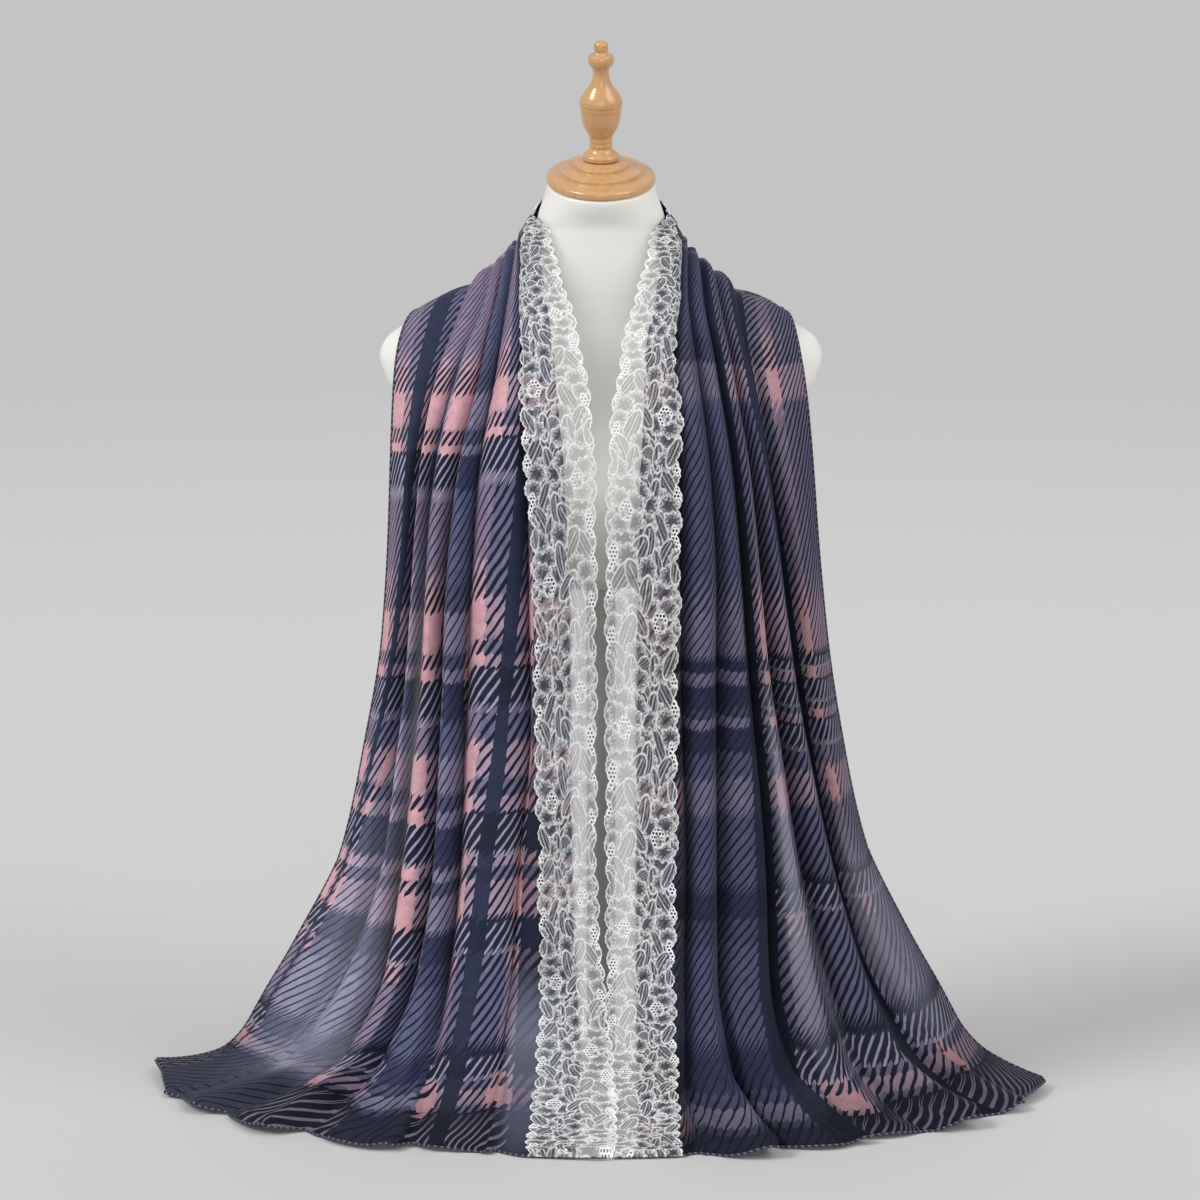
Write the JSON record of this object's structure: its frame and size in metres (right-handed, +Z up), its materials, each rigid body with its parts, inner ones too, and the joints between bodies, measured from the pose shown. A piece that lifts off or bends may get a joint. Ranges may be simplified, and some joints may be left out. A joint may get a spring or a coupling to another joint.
{
  "type": "lace-edged hijab scarf on a dress form",
  "caption": "Long plaid chiffon scarf with a floral lace edge, hung over the shoulders of a limbless dress form with a turned finial on its neck cap.",
  "frame": {"origin": "middle of the base's underside, on the floor", "axes": "+Z up along the pole; -Y towards the front, where the two lace edges meet; +X towards the wearer's left"},
  "size_m": [0.7938, 0.3224, 0.8994],
  "materials": {
    "plaid": "matt",
    "lace": "matt",
    "form_cover": "satin",
    "wood_look": "gloss",
    "stand_paint": "satin"
  },
  "bodies": {
    "root": {"scarf_front_right": "plaid", "scarf_front_left": "plaid", "scarf_back": "plaid", "lace_front_right": "lace", "lace_front_left": "lace", "lace_nape": "lace", "form_torso": "form_cover", "neck_cap": "wood_look", "finial": "wood_look", "base": "stand_paint", "pole": "stand_paint"}
  },
  "joints": []
}
